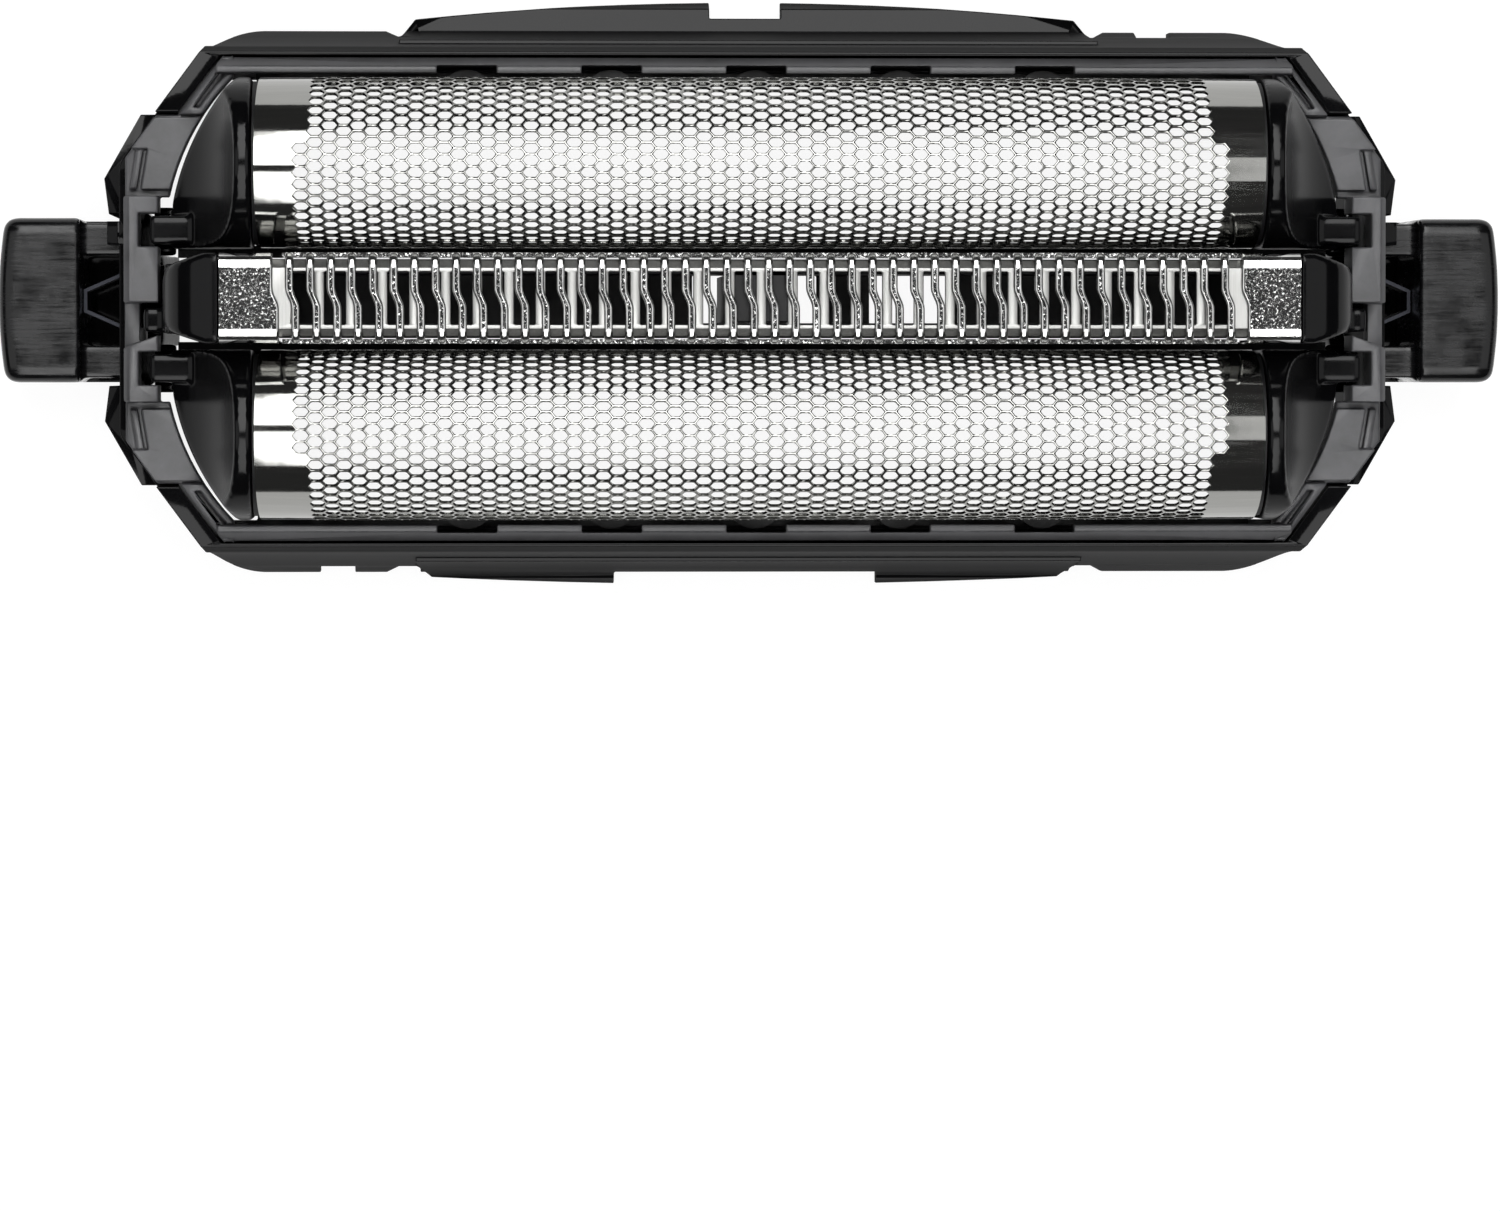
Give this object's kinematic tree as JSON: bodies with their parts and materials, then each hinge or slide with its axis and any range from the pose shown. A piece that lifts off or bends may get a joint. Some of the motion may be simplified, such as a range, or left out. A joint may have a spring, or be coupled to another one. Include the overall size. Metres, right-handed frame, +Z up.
{
  "type": "shaver foil head",
  "caption": "Flared oval frame holding arched perforated foils and a slit trimmer that float on springs, with a push button at each end that frees it from a dry shaver.",
  "frame": {"origin": "on the skirt edge, under the middle of the slit trimmer", "axes": "X along the head to its right end, Y to the rear, Z up through the foils"},
  "size_m": [0.066, 0.0262, 0.019],
  "materials": {
    "foil_steel": "bright electroformed foil",
    "trimmer_steel": "brushed",
    "spring_steel": "plain",
    "cap_plastic": "gloss black",
    "button_plastic": "satin dark grey",
    "frame_plastic": "satin black",
    "cassette_plastic": "satin dark grey",
    "carrier_plastic": "matt black"
  },
  "bodies": {
    "frame": {"foil_frame": "frame_plastic", "cassette_frame": "cassette_plastic", "trimmer_spring_left": "spring_steel", "trimmer_spring_right": "spring_steel", "button_spring_left": "spring_steel", "button_spring_right": "spring_steel"},
    "rear_foil_unit": {"foil_rear": "foil_steel", "foil_holder_rear": "carrier_plastic", "foil_cap_rear_left": "cap_plastic", "foil_cap_rear_right": "cap_plastic"},
    "front_foil_unit": {"foil_front": "foil_steel", "foil_holder_front": "carrier_plastic", "foil_cap_front_left": "cap_plastic", "foil_cap_front_right": "cap_plastic"},
    "trimmer_unit": {"trimmer_comb": "trimmer_steel", "trimmer_carrier": "carrier_plastic", "trimmer_cap_left": "cap_plastic", "trimmer_cap_right": "cap_plastic"},
    "sliding_blade": {"trimmer_blade": "trimmer_steel", "trimmer_yoke": "carrier_plastic"},
    "left_button": {"release_button_left": "button_plastic"},
    "right_button": {"release_button_right": "button_plastic"}
  },
  "joints": [
    {"name": "rear_foil_float", "type": "slide", "parent": "frame", "child": "rear_foil_unit", "axis": [0, 0, 1], "range_m": [0, 0.0015]},
    {"name": "front_foil_float", "type": "slide", "parent": "frame", "child": "front_foil_unit", "axis": [0, 0, 1], "range_m": [0, 0.0015]},
    {"name": "trimmer_float", "type": "slide", "parent": "frame", "child": "trimmer_unit", "axis": [0, 0, 1], "range_m": [-0.0013, 0], "stiffness_N_per_m": 250, "springref_m": 0.0015, "deforming": ["trimmer_spring_left", "trimmer_spring_right"]},
    {"name": "blade_stroke", "type": "slide", "parent": "trimmer_unit", "child": "sliding_blade", "axis": [1, 0, 0], "range_m": [-0.0011, 0.0011]},
    {"name": "left_button_press", "type": "slide", "parent": "frame", "child": "left_button", "axis": [1, 0, 0], "range_m": [0, 0.0012], "stiffness_N_per_m": 400, "springref_m": -0.001, "deforming": ["button_spring_left"]},
    {"name": "right_button_press", "type": "slide", "parent": "frame", "child": "right_button", "axis": [-1, 0, 0], "range_m": [0, 0.0012], "stiffness_N_per_m": 400, "springref_m": -0.001, "deforming": ["button_spring_right"]}
  ]
}
